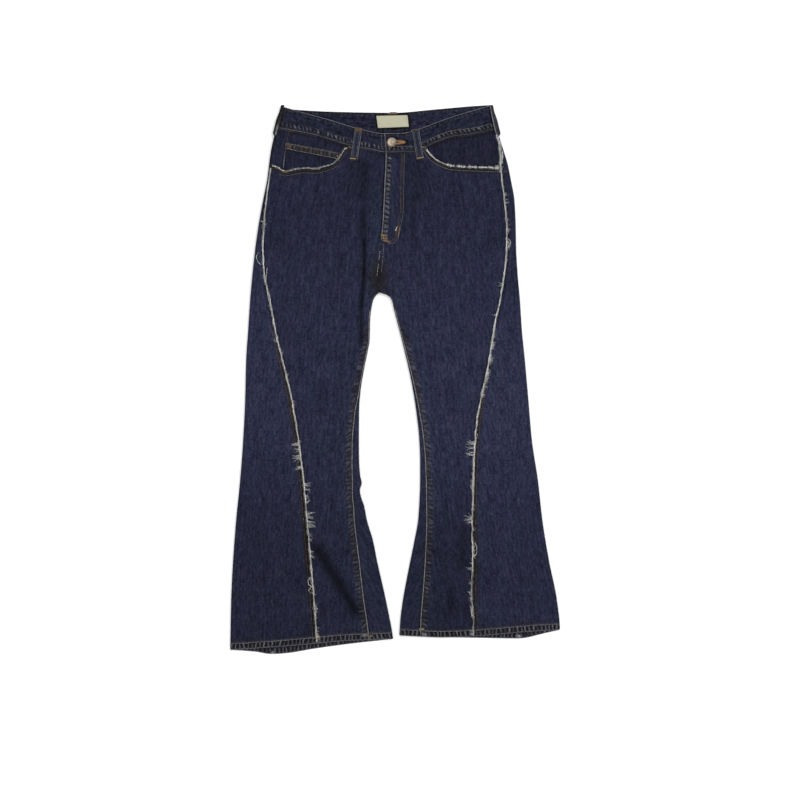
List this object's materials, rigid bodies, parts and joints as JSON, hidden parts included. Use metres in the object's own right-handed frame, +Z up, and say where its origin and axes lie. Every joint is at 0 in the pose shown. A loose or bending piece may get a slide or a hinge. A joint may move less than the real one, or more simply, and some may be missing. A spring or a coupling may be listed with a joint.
{
  "type": "bootcut jeans lying flat",
  "caption": "Dark denim jeans laid flat with the fly up: flared legs with frayed front seams, waistband, pockets, belt loops and a shank button.",
  "frame": {"origin": "middle of the garment's outline, on the surface it lies on", "axes": "+Y along the legs towards the waist, +X towards the wearer's left, +Z up out of the front"},
  "size_m": [0.5939, 0.9889, 0.0125],
  "materials": {
    "denim": "dark indigo cotton twill with pale slubs, worn lighter along the folded edges",
    "button_metal": "pale copper plate, brushed",
    "label_cloth": "plain cream woven tape, bare",
    "fray": "loose undyed cotton threads"
  },
  "bodies": {
    "root": {"front_right": "denim", "front_left": "denim", "side_right": "denim", "side_left": "denim", "back_right": "denim", "back_left": "denim", "yoke_right": "denim", "yoke_left": "denim", "waistband": "denim", "facing_right": "denim", "facing_left": "denim", "coin_pocket": "denim", "back_pocket_right": "denim", "back_pocket_left": "denim", "loop_front_right": "denim", "loop_front_left": "denim", "loop_side_right": "denim", "loop_side_left": "denim", "loop_back": "denim", "button": "button_metal", "label": "label_cloth", "fray_seam_right": "fray", "fray_seam_left": "fray", "fray_pocket_right": "fray", "fray_pocket_left": "fray"}
  },
  "joints": []
}
